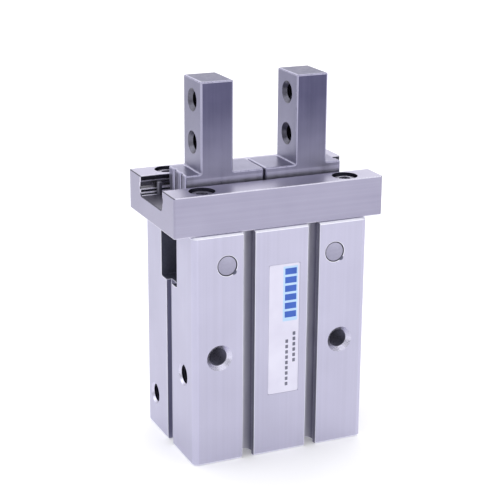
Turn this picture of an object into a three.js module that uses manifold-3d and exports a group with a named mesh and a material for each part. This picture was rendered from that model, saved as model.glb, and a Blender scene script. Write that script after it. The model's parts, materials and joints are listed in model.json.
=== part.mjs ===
// Compact double-acting parallel gripper.
// A piston in an aluminium housing lifts a slotted block on its rod. Two bell-crank levers turn that
// lift into a sideways push, and two fingers roll apart on steel balls in a linear guide.
// Frame: millimetres, origin at the centre of the bottom face, +Z up along the fingers,
// +X along the opening direction, -Y towards the front face. The fingers are drawn closed.
import * as THREE from 'three';
import { mergeVertices } from 'three/addons/utils/BufferGeometryUtils.js';
import Module from 'manifold-3d';

const wasm = await Module();
wasm.setup();

// Driving dimensions
const BODY = { width: 42, depth: 29, height: 53.4, corner: 1.2, chamfer: 0.5 };
const GUIDE = { length: 50, depth: 27.6, height: 9, chamfer: 0.5 };
const CHANNEL = { halfWidth: 6.8, depth: 4.5, corner: 0.6 };
const RACE = { halfSpacing: 5.9, height: 60.2, ballRadius: 1.2, grooveRadius: 1.26 };
const STROKE = 5;
const TOTAL_HEIGHT = 84.8;

const SLIDER = { inner: 0.2, outer: 18.85, halfWidth: 5, bottom: 58.2, top: 64.55, chamfer: 0.35 };
const POST = { inner: 7.6, outer: 15.2, chamfer: 0.45 };
const FINGER_HOLE = { radius: 1.7, mouth: 2.5, low: 70.7, high: 80.1 };

const PIVOT = { x: 13, z: 46.3 };
const LEVER = { upper: 12.5, inner: 8.8, hub: 4.3, tip: 2, nose: 1.8, thickness: 6 };
const SHAFT_RADIUS = 2.2;
const SHAFT_END = { gap: 0.1, bevel: 0.3 };
const BUSH = { radius: 3, boreGap: 0.04, overhang: 0.6 };
const LEVER_ARM = { upperRoot: 3, upperTip: 1.6, innerRoot: 2.4, innerTip: 1.15 };
const SWING = Math.asin(STROKE / 2 / LEVER.upper);
const NOSE_HEIGHT = PIVOT.z - LEVER.inner * Math.sin(SWING);
const LIFT = 2 * LEVER.inner * Math.sin(SWING);

const BORE_RADIUS = 10;
const BORE_TOP = 29.5;
const CHAMBER = { halfWidth: 4.75, floor: 39.3, rodHole: 5 };
const CAP = { bottom: 2, flangeTop: 3.5, top: 7, radius: 9.95, flangeRadius: 10.45 };
const CAP_SEAT = { radius: 10.5, depth: 3.5 };
const CAP_GROOVE = { bottom: 4.6, top: 6.1, radius: 8.8 };
const SPANNER_HOLE = { x: 5.5, radius: 0.9, depth: 1.6 };
const RING_GROOVE = { radius: 11.3, bottom: 0.9, top: 1.95 };
const RETAINING_RING = { outer: 11.2, inner: 9.2, bottom: 0.92, top: 1.94, halfGap: 0.24 };
const RING_EAR = { circle: 8.7, radius: 1.3, hole: 0.6, inset: 0.1 };
const PISTON = { bottom: 8.6, top: 15.6, radius: 9.9, rod: 4, rodTop: 40.3, bevel: 0.5 };
const PISTON_GROOVE = { bottom: 9.6, top: 11.4, radius: 8 };
const MAGNET_GROOVE = { bottom: 12.2, top: 14.6, radius: 7.6 };
const MAGNET_RADIUS = 9.8;
const COVER = { bottom: 21, radius: 9.95, bore: 4.05 };
const COVER_GROOVE = { bottom: 26.2, top: 27.8, radius: 8.8 };
const ROD_SEAL = { bottom: 23, top: 25.2, radius: 6 };
const BUMPER = { inner: 5.2, outer: 7.6, recess: 0.7, clearance: 0.1 };
const SEAL_RADIUS = BORE_RADIUS - 0.03;
const SEAL_GAP = 0.05;
const BLOCK = { halfWidth: 6.8, halfDepth: 4.4, bottom: 40.3, top: 49.2, slotEnd: 2.15 };
const BLOCK_CHAMFER = 0.4;
const BLOCK_SLOT = { halfHeight: 1.85, halfDepth: 3.2, mouth: 1, flare: 0.75 };
const BOLT = { head: 2.75, headBottom: 47, headTop: 48.8, shank: 1.5, tip: 33 };
const BOLT_SOCKET = { radius: 1.15, depth: 1.1 };
const BOLT_SPACE = { head: 0.1, tip: 0.5 };

const SENSOR_SLOT = { x: 7.8, halfWidth: 1.4, radius: 2, centreDepth: 2.9 };
const SIDE_SLOT = { halfWidth: 1.65, depth: 1.3 };
const MOUNT_HOLE = { x: 14.8, z: 25.2, radius: 2.1, mouth: 2.9 };
const BASE_HOLE = { x: 15.5, depth: 8, radius: 2.1, mouth: 2.6 };
const PORT = { radius: 2.1, mouth: 2.6, depth: 5, passage: 0.8, passageY: 8, passageEnd: 4.5 };
const PORTS = [{ y: -8.2, z: 20 }, { y: 9.6, z: 8.5 }];
const LABEL = { x: 0.7, z: 29.75, width: 7.4, height: 30.5, recess: 0.15, thickness: 0.13 };
const LABEL_GAP = 0.05;

const GUIDE_SCREW = { x: 17.2, y: 10.3, head: 2.7, headHeight: 3, shank: 1.5, length: 12 };
const SCREW_DETAIL = { socket: 1.44, bevel: 0.25, tipSpace: 0.6 };
const COUNTERBORE = { radius: 2.9, depth: 3.6, clearance: 1.7 };
const STOP_PIN = { x: 20.8, radius: 0.6, bottom: 56.9, top: 61 };
const BALLS_PER_ROW = 4;
const BALL_PITCH = 2.9;
const BALL_ROW_CENTRE = 10;
const LEVER_SLOT_GAP = 0.3;
const TIP_SLOT = { gap: 0.06, depth: 3 };

const FINE = 32;
const MEDIUM = 24;
const SMALL = 16;
const COARSE = 12;
const OVERCUT = 1;
const FIT = 0.02;
const ORIGIN = [0, 0, 0];

const GUIDE_TOP = BODY.height + GUIDE.height;
const CHANNEL_FLOOR = GUIDE_TOP - CHANNEL.depth;
const HALF_DEPTH = BODY.depth / 2;
const HALF_WIDTH = BODY.width / 2;

function finish(color, roughness, metalness) {
  return new THREE.MeshStandardMaterial({ color, roughness, metalness });
}

const MATERIAL = {
  anodised: finish(0xc9c7d8, 0.38, 0.75),
  guideSteel: finish(0xb4b1c6, 0.3, 0.9),
  fingerSteel: finish(0x8f8da3, 0.35, 0.9),
  darkSteel: finish(0x55555f, 0.4, 0.85),
  brightSteel: finish(0xd2d2da, 0.15, 1),
  turnedAluminium: finish(0xb9bac2, 0.35, 0.8),
  bronze: finish(0x9c7a4a, 0.4, 0.8),
  sealRubber: finish(0x1c1c1f, 0.7, 0),
  label: finish(0xdedee8, 0.45, 0),
};

// Solids

// Turns a closed three.js geometry into a solid that can be joined and cut.
function toSolid(geometry) {
  const bare = geometry.clone();
  bare.deleteAttribute('normal');
  bare.deleteAttribute('uv');
  const merged = mergeVertices(bare, 1e-4);
  const corners = merged.index.array;
  const triangles = [];
  for (let i = 0; i < corners.length; i += 3) {
    const [a, b, c] = [corners[i], corners[i + 1], corners[i + 2]];
    if (a !== b && b !== c && c !== a) triangles.push(a, b, c);
  }
  const mesh = new wasm.Mesh({
    numProp: 3,
    vertProperties: new Float32Array(merged.attributes.position.array),
    triVerts: new Uint32Array(triangles),
  });
  return new wasm.Manifold(mesh);
}

// Turns a finished solid back into a geometry with flat faces.
function toGeometry(solid) {
  const mesh = solid.getMesh();
  const geometry = new THREE.BufferGeometry();
  geometry.setAttribute('position', new THREE.BufferAttribute(mesh.vertProperties, mesh.numProp));
  geometry.setIndex(new THREE.BufferAttribute(mesh.triVerts, 1));
  geometry.computeVertexNormals();
  return geometry;
}

function joinAll(solids) {
  return solids.reduce((whole, solid) => whole.add(solid));
}

function cutAll(solid, cutters) {
  return cutters.reduce((rest, cutter) => rest.subtract(cutter), solid);
}

// Turns a geometry drawn along Z so that it runs along the named axis: for 'y' the drawing plane is
// XZ, and for 'x' it is YZ.
function alongAxis(geometry, axis) {
  if (axis === 'z') return geometry;
  geometry.rotateX(Math.PI / 2);
  return axis === 'x' ? geometry.rotateZ(Math.PI / 2) : geometry;
}

// A straight prism of a drawn outline between two places on an axis.
function prism(shape, axis, from, to, curveSegments = 8) {
  const options = { depth: to - from, bevelEnabled: false, curveSegments };
  const geometry = new THREE.ExtrudeGeometry(shape, options);
  geometry.translate(0, 0, axis === 'y' ? -to : from);
  return toSolid(alongAxis(geometry, axis));
}

// A cone from one place to another on an axis, through the point at.
function cone(axis, at, from, to, radius, endRadius, segments = SMALL) {
  const length = to - from;
  const geometry = new THREE.CylinderGeometry(endRadius, radius, length, segments);
  geometry.translate(0, from + length / 2, 0);
  if (axis === 'z') geometry.rotateX(Math.PI / 2);
  if (axis === 'x') geometry.rotateZ(-Math.PI / 2);
  return toSolid(geometry.translate(...at));
}

function bar(axis, at, from, to, radius, segments = SMALL) {
  return cone(axis, at, from, to, radius, radius, segments);
}

// A body of revolution about Z, from [radius, height] pairs going up the outside.
function turned(profile, segments = FINE) {
  const points = profile.map(([radius, height]) => new THREE.Vector2(radius, height));
  return toSolid(new THREE.LatheGeometry(points, segments).rotateX(Math.PI / 2));
}

function ringProfile(inner, outer, bottom, top) {
  return [[inner, bottom], [outer, bottom], [outer, top], [inner, top], [inner, bottom]];
}

function block(x0, x1, y0, y1, z0, z1) {
  const geometry = new THREE.BoxGeometry(x1 - x0, y1 - y0, z1 - z0);
  return toSolid(geometry.translate((x0 + x1) / 2, (y0 + y1) / 2, (z0 + z1) / 2));
}

// An outline through the given points.
function outline(points) {
  return new THREE.Shape(points.map(([u, v]) => new THREE.Vector2(u, v)));
}

// A rectangle with its four corners cut off.
function cutCornerRectangle(u0, u1, v0, v1, cut) {
  return outline([
    [u0 + cut, v0], [u1 - cut, v0], [u1, v0 + cut], [u1, v1 - cut],
    [u1 - cut, v1], [u0 + cut, v1], [u0, v1 - cut], [u0, v0 + cut],
  ]);
}

// A box with all twelve edges chamfered.
function chamferedBlock(x0, x1, y0, y1, z0, z1, cut) {
  const top = prism(cutCornerRectangle(x0, x1, y0, y1, cut), 'z', z0, z1);
  const front = prism(cutCornerRectangle(x0, x1, z0, z1, cut), 'y', y0, y1);
  const side = prism(cutCornerRectangle(y0, y1, z0, z1, cut), 'x', x0, x1);
  return top.intersect(front).intersect(side);
}

function roundedRectangle(halfWidth, halfDepth, radius) {
  const shape = new THREE.Shape();
  const [u, v] = [halfWidth - radius, halfDepth - radius];
  shape.absarc(u, v, radius, 0, Math.PI / 2, false);
  shape.absarc(-u, v, radius, Math.PI / 2, Math.PI, false);
  shape.absarc(-u, -v, radius, Math.PI, Math.PI * 1.5, false);
  shape.absarc(u, -v, radius, Math.PI * 1.5, Math.PI * 2, false);
  return shape;
}

// A hole with a conical mouth at one or both of its open ends.
function chamferedHole(axis, at, from, to, radius, mouth, mouths) {
  const rim = mouth - radius;
  const parts = [bar(axis, at, from, to, radius)];
  if (mouths.includes('from')) {
    parts.push(cone(axis, at, from - FIT, from + rim, mouth + FIT, radius));
  }
  if (mouths.includes('to')) {
    parts.push(cone(axis, at, to - rim, to + FIT, radius, mouth + FIT));
  }
  return joinAll(parts);
}

// Every combination of a left and right side with a front and back side.
const CORNERS = [[-1, -1], [1, -1], [-1, 1], [1, 1]];

// Housing

// The keyhole outline of a sensor slot, its mouth at v = 0 and its round bottom at greater v.
function sensorSlotShape() {
  const { halfWidth, radius, centreDepth } = SENSOR_SLOT;
  const lip = Math.acos(halfWidth / radius);
  const shape = new THREE.Shape();
  shape.moveTo(halfWidth, -OVERCUT);
  shape.absarc(0, centreDepth, radius, -lip, Math.PI + lip, false);
  shape.lineTo(-halfWidth, -OVERCUT);
  return shape;
}

function sensorSlots() {
  const options = { depth: BODY.height + 2 * OVERCUT, bevelEnabled: false, curveSegments: 12 };
  return CORNERS.map(([side, face]) => {
    const geometry = new THREE.ExtrudeGeometry(sensorSlotShape(), options);
    geometry.rotateZ(face > 0 ? Math.PI : 0);
    geometry.translate(side * SENSOR_SLOT.x, face * HALF_DEPTH, -OVERCUT);
    return toSolid(geometry);
  });
}

// The narrow slot down each side face, from the lever window to the base.
function sideSlots() {
  const { halfWidth, depth } = SIDE_SLOT;
  const [near, far] = [HALF_WIDTH - depth, HALF_WIDTH + OVERCUT];
  return [[-far, -near], [near, far]].map(([x0, x1]) => {
    return block(x0, x1, -halfWidth, halfWidth, -OVERCUT, CHAMBER.floor + OVERCUT);
  });
}

function labelRecess() {
  const { x, z, width, height, recess } = LABEL;
  const [w, h] = [width / 2 + LABEL_GAP, height / 2 + LABEL_GAP];
  return block(x - w, x + w, -HALF_DEPTH - OVERCUT, -HALF_DEPTH + recess, z - h, z + h);
}

function airPorts() {
  return PORTS.flatMap(({ y, z }) => {
    const [face, end] = [-HALF_WIDTH, -HALF_WIDTH + PORT.depth];
    const port = chamferedHole('x', [0, y, z], face, end, PORT.radius, PORT.mouth, 'from');
    const passageAt = [0, Math.sign(y) * PORT.passageY, z];
    return [port, bar('x', passageAt, end - OVERCUT, -PORT.passageEnd, PORT.passage)];
  });
}

// The bore for the piston, its cap seat and ring groove, the rod hole and the lever chamber.
function housingCavities() {
  const { halfWidth, floor, rodHole } = CHAMBER;
  const end = HALF_WIDTH + OVERCUT;
  return [
    bar('z', ORIGIN, -OVERCUT, BORE_TOP, BORE_RADIUS, FINE),
    bar('z', ORIGIN, -OVERCUT, CAP_SEAT.depth, CAP_SEAT.radius, FINE),
    bar('z', ORIGIN, RING_GROOVE.bottom, RING_GROOVE.top, RING_GROOVE.radius, FINE),
    bar('z', ORIGIN, BORE_TOP - OVERCUT, floor + OVERCUT, rodHole, MEDIUM),
    block(-end, end, -halfWidth, halfWidth, floor, BODY.height + OVERCUT),
  ];
}

function housingHoles() {
  const [front, back] = [-HALF_DEPTH, HALF_DEPTH];
  return [-1, 1].flatMap((side) => {
    const mount = [side * MOUNT_HOLE.x, 0, MOUNT_HOLE.z];
    const base = [side * BASE_HOLE.x, 0, 0];
    const pivot = [side * PIVOT.x, 0, PIVOT.z];
    return [
      chamferedHole('y', mount, front, back, MOUNT_HOLE.radius, MOUNT_HOLE.mouth, ['from', 'to']),
      chamferedHole('z', base, 0, BASE_HOLE.depth, BASE_HOLE.radius, BASE_HOLE.mouth, 'from'),
      bar('y', pivot, front - OVERCUT, back + OVERCUT, SHAFT_RADIUS + FIT, MEDIUM),
    ];
  });
}

function guideScrewHoles() {
  const { x, y, shank, length } = GUIDE_SCREW;
  const tip = GUIDE_TOP - COUNTERBORE.depth - length - SCREW_DETAIL.tipSpace;
  return CORNERS.map(([side, face]) => {
    return bar('z', [side * x, face * y, 0], tip, BODY.height + OVERCUT, shank + FIT);
  });
}

function makeBody() {
  const walls = prism(roundedRectangle(HALF_WIDTH, HALF_DEPTH, BODY.corner), 'z', 0, BODY.height, 4);
  const envelope = chamferedBlock(
    -HALF_WIDTH, HALF_WIDTH, -HALF_DEPTH, HALF_DEPTH, 0, BODY.height, BODY.chamfer,
  );
  return cutAll(walls.intersect(envelope), [
    ...sensorSlots(), ...sideSlots(), labelRecess(), ...housingCavities(),
    ...housingHoles(), ...airPorts(), ...guideScrewHoles(),
  ]);
}

function makeLabel() {
  const { x, z, width, height, recess, thickness } = LABEL;
  const back = -HALF_DEPTH + recess;
  return block(x - width / 2, x + width / 2, back - thickness, back, z - height / 2, z + height / 2);
}

function makeLeverShaft() {
  const { gap, bevel } = SHAFT_END;
  const end = HALF_DEPTH - gap;
  const profile = [
    [0, -end], [SHAFT_RADIUS - bevel, -end], [SHAFT_RADIUS, -end + bevel],
    [SHAFT_RADIUS, end - bevel], [SHAFT_RADIUS - bevel, end], [0, end],
  ];
  return turned(profile, MEDIUM);
}

function makeGuideScrew() {
  const { head, headHeight, shank, length } = GUIDE_SCREW;
  const { socket, bevel } = SCREW_DETAIL;
  const screw = turned([
    [0, -length], [shank - bevel, -length], [shank, -length + bevel], [shank, 0], [head, 0],
    [head, headHeight - bevel], [head - bevel, headHeight], [0, headHeight],
  ], SMALL);
  const hexagon = bar('z', ORIGIN, headHeight / 2, headHeight + OVERCUT, socket, 6);
  return screw.subtract(hexagon);
}

// Guide

function guideChannel() {
  const { halfWidth, corner } = CHANNEL;
  const [floor, top] = [CHANNEL_FLOOR, GUIDE_TOP + OVERCUT];
  const section = outline([
    [-halfWidth + corner, floor], [halfWidth - corner, floor], [halfWidth, floor + corner],
    [halfWidth, top], [-halfWidth, top], [-halfWidth, floor + corner],
  ]);
  const end = GUIDE.length / 2 + OVERCUT;
  const races = [-1, 1].map((face) => {
    return bar('x', [0, face * RACE.halfSpacing, RACE.height], -end, end, RACE.grooveRadius);
  });
  return [prism(section, 'x', -end, end), ...races];
}

// The slots in the channel floor that the levers reach up through.
function leverSlots() {
  const reach = STROKE / 2 + LEVER.tip + LEVER_SLOT_GAP;
  const halfDepth = LEVER.thickness / 2 + LEVER_SLOT_GAP;
  const [bottom, top] = [BODY.height - OVERCUT, CHANNEL_FLOOR + OVERCUT];
  return [-PIVOT.x, PIVOT.x].map((x) => {
    return block(x - reach, x + reach, -halfDepth, halfDepth, bottom, top);
  });
}

function makeGuideRail() {
  const { length, depth, chamfer } = GUIDE;
  const blank = chamferedBlock(
    -length / 2, length / 2, -depth / 2, depth / 2, BODY.height, GUIDE_TOP, chamfer,
  );
  const seat = GUIDE_TOP - COUNTERBORE.depth;
  const screwHoles = CORNERS.map(([side, face]) => {
    const at = [side * GUIDE_SCREW.x, face * GUIDE_SCREW.y, 0];
    const through = bar('z', at, BODY.height - OVERCUT, GUIDE_TOP, COUNTERBORE.clearance);
    return through.add(bar('z', at, seat, GUIDE_TOP + OVERCUT, COUNTERBORE.radius, MEDIUM));
  });
  const stopHoles = CORNERS.map(([side, face]) => {
    const at = [side * STOP_PIN.x, face * RACE.halfSpacing, 0];
    return bar('z', at, STOP_PIN.bottom, CHANNEL_FLOOR + OVERCUT, STOP_PIN.radius + FIT, COARSE);
  });
  return cutAll(blank, [...guideChannel(), ...leverSlots(), ...screwHoles, ...stopHoles]);
}

function makeStopPin() {
  return bar('z', ORIGIN, STOP_PIN.bottom, STOP_PIN.top, STOP_PIN.radius, COARSE);
}

function makeBall() {
  return toSolid(new THREE.IcosahedronGeometry(RACE.ballRadius, 1));
}

// Cylinder closures and seals

// The groove round a bumper's foot, cut from one height to another.
function bumperSeat(bottom, top) {
  return turned(ringProfile(BUMPER.inner, BUMPER.outer, bottom, top), MEDIUM);
}

function makeEndCap() {
  const { bottom, flangeTop, top, radius, flangeRadius } = CAP;
  const cap = turned([
    [0, bottom], [flangeRadius, bottom], [flangeRadius, flangeTop], [radius, flangeTop],
    [radius, CAP_GROOVE.bottom], [CAP_GROOVE.radius, CAP_GROOVE.bottom],
    [CAP_GROOVE.radius, CAP_GROOVE.top], [radius, CAP_GROOVE.top], [radius, top], [0, top],
  ]);
  const spannerHoles = [-SPANNER_HOLE.x, SPANNER_HOLE.x].map((x) => {
    return bar('z', [x, 0, 0], bottom - OVERCUT, bottom + SPANNER_HOLE.depth, SPANNER_HOLE.radius);
  });
  return cutAll(cap, [bumperSeat(top - BUMPER.recess, top + OVERCUT), ...spannerHoles]);
}

// A C-shaped spring ring with a drilled ear at each end.
function makeRetainingRing() {
  const { outer, inner, bottom, top, halfGap } = RETAINING_RING;
  const [start, end] = [-Math.PI / 2 + halfGap, Math.PI * 1.5 - halfGap];
  const shape = new THREE.Shape();
  shape.absarc(0, 0, outer, start, end, false);
  shape.absarc(0, 0, inner, end, start, true);
  const { circle, radius, hole, inset } = RING_EAR;
  const earPlaces = [start + inset, end - inset].map((angle) => {
    return [circle * Math.cos(angle), circle * Math.sin(angle), 0];
  });
  const ears = earPlaces.map((at) => bar('z', at, bottom, top, radius));
  const holes = earPlaces.map((at) => bar('z', at, bottom - OVERCUT, top + OVERCUT, hole, COARSE));
  return cutAll(joinAll([prism(shape, 'z', bottom, top, 28), ...ears]), holes);
}

function makeSealRing(groove, outer) {
  const [bottom, top] = [groove.bottom + SEAL_GAP, groove.top - SEAL_GAP];
  return turned(ringProfile(groove.radius + SEAL_GAP, outer, bottom, top), FINE);
}

function makeRodCover() {
  const { bottom, radius, bore } = COVER;
  const top = BORE_TOP - FIT;
  const cover = turned([
    [bore, bottom], [radius, bottom], [radius, COVER_GROOVE.bottom],
    [COVER_GROOVE.radius, COVER_GROOVE.bottom], [COVER_GROOVE.radius, COVER_GROOVE.top],
    [radius, COVER_GROOVE.top], [radius, top], [bore, top],
    [bore, ROD_SEAL.top], [ROD_SEAL.radius, ROD_SEAL.top], [ROD_SEAL.radius, ROD_SEAL.bottom],
    [bore, ROD_SEAL.bottom], [bore, bottom],
  ]);
  return cover.subtract(bumperSeat(bottom - OVERCUT, bottom + BUMPER.recess));
}

function makeRodSeal() {
  const [bottom, top] = [ROD_SEAL.bottom + SEAL_GAP, ROD_SEAL.top - SEAL_GAP];
  return turned(ringProfile(PISTON.rod + SEAL_GAP, ROD_SEAL.radius - SEAL_GAP, bottom, top), MEDIUM);
}

// The stop rings fill the space that the piston leaves at the two ends of its stroke.
function makeBumper(bottom, top) {
  return turned(ringProfile(BUMPER.inner + SEAL_GAP, BUMPER.outer - SEAL_GAP, bottom, top), MEDIUM);
}

// Piston and joint block

function makePiston() {
  const { bottom, top, radius, rod, rodTop, bevel } = PISTON;
  const piston = turned([
    [0, bottom], [radius - bevel, bottom], [radius, bottom + bevel],
    [radius, PISTON_GROOVE.bottom], [PISTON_GROOVE.radius, PISTON_GROOVE.bottom],
    [PISTON_GROOVE.radius, PISTON_GROOVE.top], [radius, PISTON_GROOVE.top],
    [radius, MAGNET_GROOVE.bottom], [MAGNET_GROOVE.radius, MAGNET_GROOVE.bottom],
    [MAGNET_GROOVE.radius, MAGNET_GROOVE.top], [radius, MAGNET_GROOVE.top],
    [radius, top - bevel], [radius - bevel, top], [rod, top], [rod, rodTop], [0, rodTop],
  ]);
  const threadEnd = BOLT.tip - BOLT_SPACE.tip;
  return piston.subtract(bar('z', ORIGIN, threadEnd, rodTop + OVERCUT, BOLT.shank + FIT));
}

// The slot that takes one lever's nose, on the side given by its sign.
function blockSlot(side) {
  const { halfWidth, slotEnd } = BLOCK;
  const { halfHeight, halfDepth, mouth, flare } = BLOCK_SLOT;
  const wide = halfHeight + flare;
  const section = outline([
    [slotEnd, -halfHeight], [halfWidth - mouth, -halfHeight], [halfWidth + FIT, -wide],
    [halfWidth + OVERCUT, -wide], [halfWidth + OVERCUT, wide], [halfWidth + FIT, wide],
    [halfWidth - mouth, halfHeight], [slotEnd, halfHeight],
  ].map(([x, z]) => [side * x, NOSE_HEIGHT + z]));
  return prism(section, 'y', -halfDepth, halfDepth);
}

function makeJointBlock() {
  const { halfWidth, halfDepth, bottom, top } = BLOCK;
  const blank = chamferedBlock(
    -halfWidth, halfWidth, -halfDepth, halfDepth, bottom, top, BLOCK_CHAMFER,
  );
  return cutAll(blank, [
    blockSlot(-1), blockSlot(1),
    bar('z', ORIGIN, bottom - OVERCUT, top + OVERCUT, BOLT.shank + FIT),
    bar('z', ORIGIN, BOLT.headBottom, top + OVERCUT, BOLT.head + BOLT_SPACE.head),
  ]);
}

function makeJointBolt() {
  const { head, headBottom, headTop, shank, tip } = BOLT;
  const bolt = turned([
    [0, tip], [shank, tip], [shank, headBottom], [head, headBottom], [head, headTop], [0, headTop],
  ], SMALL);
  const { radius, depth } = BOLT_SOCKET;
  return bolt.subtract(bar('z', ORIGIN, headTop - depth, headTop + OVERCUT, radius, 6));
}

// Levers, drawn about their pivot with the upper arm straight up and the inner arm towards -X

function makeLever() {
  const { upper, inner, hub, tip, nose, thickness } = LEVER;
  const { upperRoot, upperTip, innerRoot, innerTip } = LEVER_ARM;
  const [back, front] = [-thickness / 2, thickness / 2];
  const upperArm = outline([
    [-upperRoot, 0], [upperRoot, 0], [upperTip, upper], [-upperTip, upper],
  ]);
  const innerArm = outline([
    [0, -innerRoot], [0, innerRoot], [-inner, innerTip], [-inner, -innerTip],
  ]);
  const lever = joinAll([
    bar('y', ORIGIN, back, front, hub, MEDIUM),
    prism(upperArm, 'y', back, front),
    prism(innerArm, 'y', back, front),
    bar('y', [0, 0, upper], back, front, tip, MEDIUM),
    bar('y', [-inner, 0, 0], back, front, nose, MEDIUM),
  ]);
  const bore = bar('y', ORIGIN, back - OVERCUT, front + OVERCUT, BUSH.radius + FIT, MEDIUM);
  return lever.subtract(bore);
}

function makeLeverBearing() {
  const half = LEVER.thickness / 2 + BUSH.overhang;
  return turned(ringProfile(SHAFT_RADIUS + BUSH.boreGap, BUSH.radius, -half, half), MEDIUM);
}

// Fingers, drawn on the right side

// The slot in a slider's underside that takes the lever's tip.
function tipSlot() {
  const x = PIVOT.x - STROKE / 2;
  const halfWidth = LEVER.tip + TIP_SLOT.gap;
  const halfDepth = LEVER.thickness / 2 + LEVER_SLOT_GAP;
  const [from, to] = [SLIDER.bottom - OVERCUT, SLIDER.bottom + TIP_SLOT.depth];
  return block(x - halfWidth, x + halfWidth, -halfDepth, halfDepth, from, to);
}

function makeFinger() {
  const { inner, outer, halfWidth, bottom, top, chamfer } = SLIDER;
  const slider = chamferedBlock(inner, outer, -halfWidth, halfWidth, bottom, top, chamfer);
  const post = chamferedBlock(
    POST.inner, POST.outer, -halfWidth, halfWidth, bottom + OVERCUT, TOTAL_HEIGHT, POST.chamfer,
  );
  const races = [-1, 1].map((face) => {
    const at = [0, face * RACE.halfSpacing, RACE.height];
    return bar('x', at, inner - OVERCUT, outer + OVERCUT, RACE.grooveRadius);
  });
  const { radius, mouth, low, high } = FINGER_HOLE;
  const holes = [low, high].map((z) => {
    return chamferedHole('x', [0, 0, z], POST.inner, POST.outer, radius, mouth, ['from', 'to']);
  });
  return cutAll(slider.add(post), [...races, tipSlot(), ...holes]);
}

// Assembly

const gripper = new THREE.Group();
const CORNER_NAMES = ['front_left', 'front_right', 'back_left', 'back_right'];

function addPiece(parent, name, solid, material, position = ORIGIN) {
  const mesh = new THREE.Mesh(toGeometry(solid), material);
  mesh.name = name;
  mesh.position.set(...position);
  parent.add(mesh);
  return mesh;
}

function addHousing() {
  addPiece(gripper, 'body', makeBody(), MATERIAL.anodised);
  addPiece(gripper, 'rating_label', makeLabel(), MATERIAL.label);
  addPiece(gripper, 'guide_rail', makeGuideRail(), MATERIAL.guideSteel);
  const { x, y } = GUIDE_SCREW;
  CORNERS.forEach(([side, face], i) => {
    const screwAt = [side * x, face * y, GUIDE_TOP - COUNTERBORE.depth];
    const pinAt = [side * STOP_PIN.x, face * RACE.halfSpacing, 0];
    const corner = CORNER_NAMES[i];
    addPiece(gripper, `guide_screw_${corner}`, makeGuideScrew(), MATERIAL.darkSteel, screwAt);
    addPiece(gripper, `ball_stop_${corner}`, makeStopPin(), MATERIAL.darkSteel, pinAt);
  });
}

// The closures of the cylinder, their seals and the elastic stops at the two ends of the stroke.
function addCylinder() {
  addPiece(gripper, 'end_cap', makeEndCap(), MATERIAL.turnedAluminium);
  addPiece(gripper, 'end_cap_seal', makeSealRing(CAP_GROOVE, SEAL_RADIUS), MATERIAL.sealRubber);
  addPiece(gripper, 'retaining_ring', makeRetainingRing(), MATERIAL.darkSteel);
  addPiece(gripper, 'rod_cover', makeRodCover(), MATERIAL.turnedAluminium);
  addPiece(gripper, 'rod_cover_seal', makeSealRing(COVER_GROOVE, SEAL_RADIUS), MATERIAL.sealRubber);
  addPiece(gripper, 'rod_seal', makeRodSeal(), MATERIAL.sealRubber);
  const lowerStop = makeBumper(CAP.top - BUMPER.recess, PISTON.bottom - BUMPER.clearance);
  const upperStop = makeBumper(PISTON.top + LIFT + BUMPER.clearance, COVER.bottom + BUMPER.recess);
  addPiece(gripper, 'bumper_lower', lowerStop, MATERIAL.sealRubber);
  addPiece(gripper, 'bumper_upper', upperStop, MATERIAL.sealRubber);
}

function addPistonGroup() {
  addPiece(gripper, 'piston', makePiston(), MATERIAL.turnedAluminium);
  addPiece(gripper, 'piston_seal', makeSealRing(PISTON_GROOVE, SEAL_RADIUS), MATERIAL.sealRubber);
  const magnet = makeSealRing(MAGNET_GROOVE, MAGNET_RADIUS);
  addPiece(gripper, 'piston_magnet', magnet, MATERIAL.darkSteel);
  addPiece(gripper, 'joint_block', makeJointBlock(), MATERIAL.darkSteel);
  addPiece(gripper, 'joint_bolt', makeJointBolt(), MATERIAL.darkSteel);
}

// One side's finger, lever, shaft, bearing and ball rows. The left side is the right one turned
// half a turn about Z.
function addSide(label, turn) {
  const sideGroup = new THREE.Group();
  sideGroup.rotation.z = turn;
  gripper.add(sideGroup);
  const pivot = [PIVOT.x, 0, PIVOT.z];
  const shaftName = `lever_shaft_${label}`;
  const shaft = addPiece(sideGroup, shaftName, makeLeverShaft(), MATERIAL.brightSteel, pivot);
  shaft.rotation.x = Math.PI / 2;
  const leverGroup = new THREE.Group();
  leverGroup.position.set(...pivot);
  leverGroup.rotation.y = -SWING;
  sideGroup.add(leverGroup);
  addPiece(leverGroup, `lever_${label}`, makeLever(), MATERIAL.darkSteel);
  const bearingName = `lever_bearing_${label}`;
  const bearing = addPiece(leverGroup, bearingName, makeLeverBearing(), MATERIAL.bronze);
  bearing.rotation.x = Math.PI / 2;
  addPiece(sideGroup, `finger_${label}`, makeFinger(), MATERIAL.fingerSteel);
  for (const [row, face] of [['front', -1], ['back', 1]]) {
    for (let i = 0; i < BALLS_PER_ROW; i += 1) {
      const x = BALL_ROW_CENTRE + (i - (BALLS_PER_ROW - 1) / 2) * BALL_PITCH;
      const at = [x, face * RACE.halfSpacing, RACE.height];
      const ballName = `guide_ball_${label}_${row}_${i + 1}`;
      addPiece(sideGroup, ballName, makeBall(), MATERIAL.brightSteel, at);
    }
  }
}

addHousing();
addCylinder();
addPistonGroup();
addSide('right', 0);
addSide('left', Math.PI);

export default gripper;
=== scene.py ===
import json
import math

import bmesh
import bpy
from mathutils import Matrix, Vector


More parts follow.
